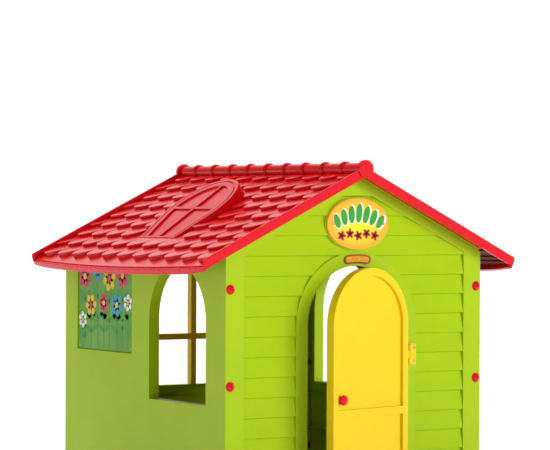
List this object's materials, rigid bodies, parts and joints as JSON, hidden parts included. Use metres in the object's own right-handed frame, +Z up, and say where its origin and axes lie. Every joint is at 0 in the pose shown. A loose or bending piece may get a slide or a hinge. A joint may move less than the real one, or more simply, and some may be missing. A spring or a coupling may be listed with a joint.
{
  "type": "children's playhouse",
  "caption": "Plastic garden playhouse with clapboard gables, arched windows, a tiled two-slope roof with a ridge tube, and an arched hinged door.",
  "frame": {"origin": "on the ground under the middle of the doorway, in the middle of the front wall's thickness", "axes": "+X to the right seen from the door side, +Y into the house, +Z up"},
  "size_m": [1.3336, 1.3003, 1.208],
  "materials": {
    "wall_green": "lime green moulded plastic, satin gloss",
    "roof_red": "red moulded plastic, glossy",
    "trim_red": "bright red moulded plastic, glossy",
    "door_yellow": "yellow moulded plastic, satin gloss",
    "sign_print": null,
    "plate_gold": "gold-brown moulded plastic",
    "picture_print": null,
    "steel": "zinc-plated"
  },
  "bodies": {
    "house": {"front_wall": "wall_green", "back_wall": "wall_green", "left_wall": "wall_green", "right_wall": "wall_green", "roof_left": "roof_red", "roof_right": "roof_red", "ridge_beam": "roof_red", "ridge_tube": "roof_red", "ridge_disc_front": "trim_red", "ridge_disc_back": "trim_red", "dormer_left": "roof_red", "dormer_right": "roof_red", "gable_sign": "sign_print", "arch_plate": "plate_gold", "picture_panel_left": "picture_print", "picture_panel_right": "picture_print", "back_window_cross": "door_yellow", "corner_bolts": "trim_red", "corner_nuts": "trim_red", "roof_screws": "steel", "dormer_pins": "roof_red", "sign_rivets": "plate_gold", "picture_rivets": "wall_green", "hinge_bracket_upper": "door_yellow", "hinge_bracket_lower": "door_yellow", "hinge_pin_upper": "steel", "hinge_pin_lower": "steel", "bracket_screws": "steel"},
    "door": {"door_shell": "door_yellow", "door_back": "door_yellow", "door_knob_outer": "trim_red", "door_knob_inner": "trim_red", "knob_bolt": "steel", "door_screws": "steel"}
  },
  "joints": [
    {"name": "door_hinge", "type": "hinge", "parent": "house", "child": "door", "pos_m": [0.212, -0.032, 0.14], "axis": [0, 0, 1], "range_deg": [-14.5, 105]}
  ]
}
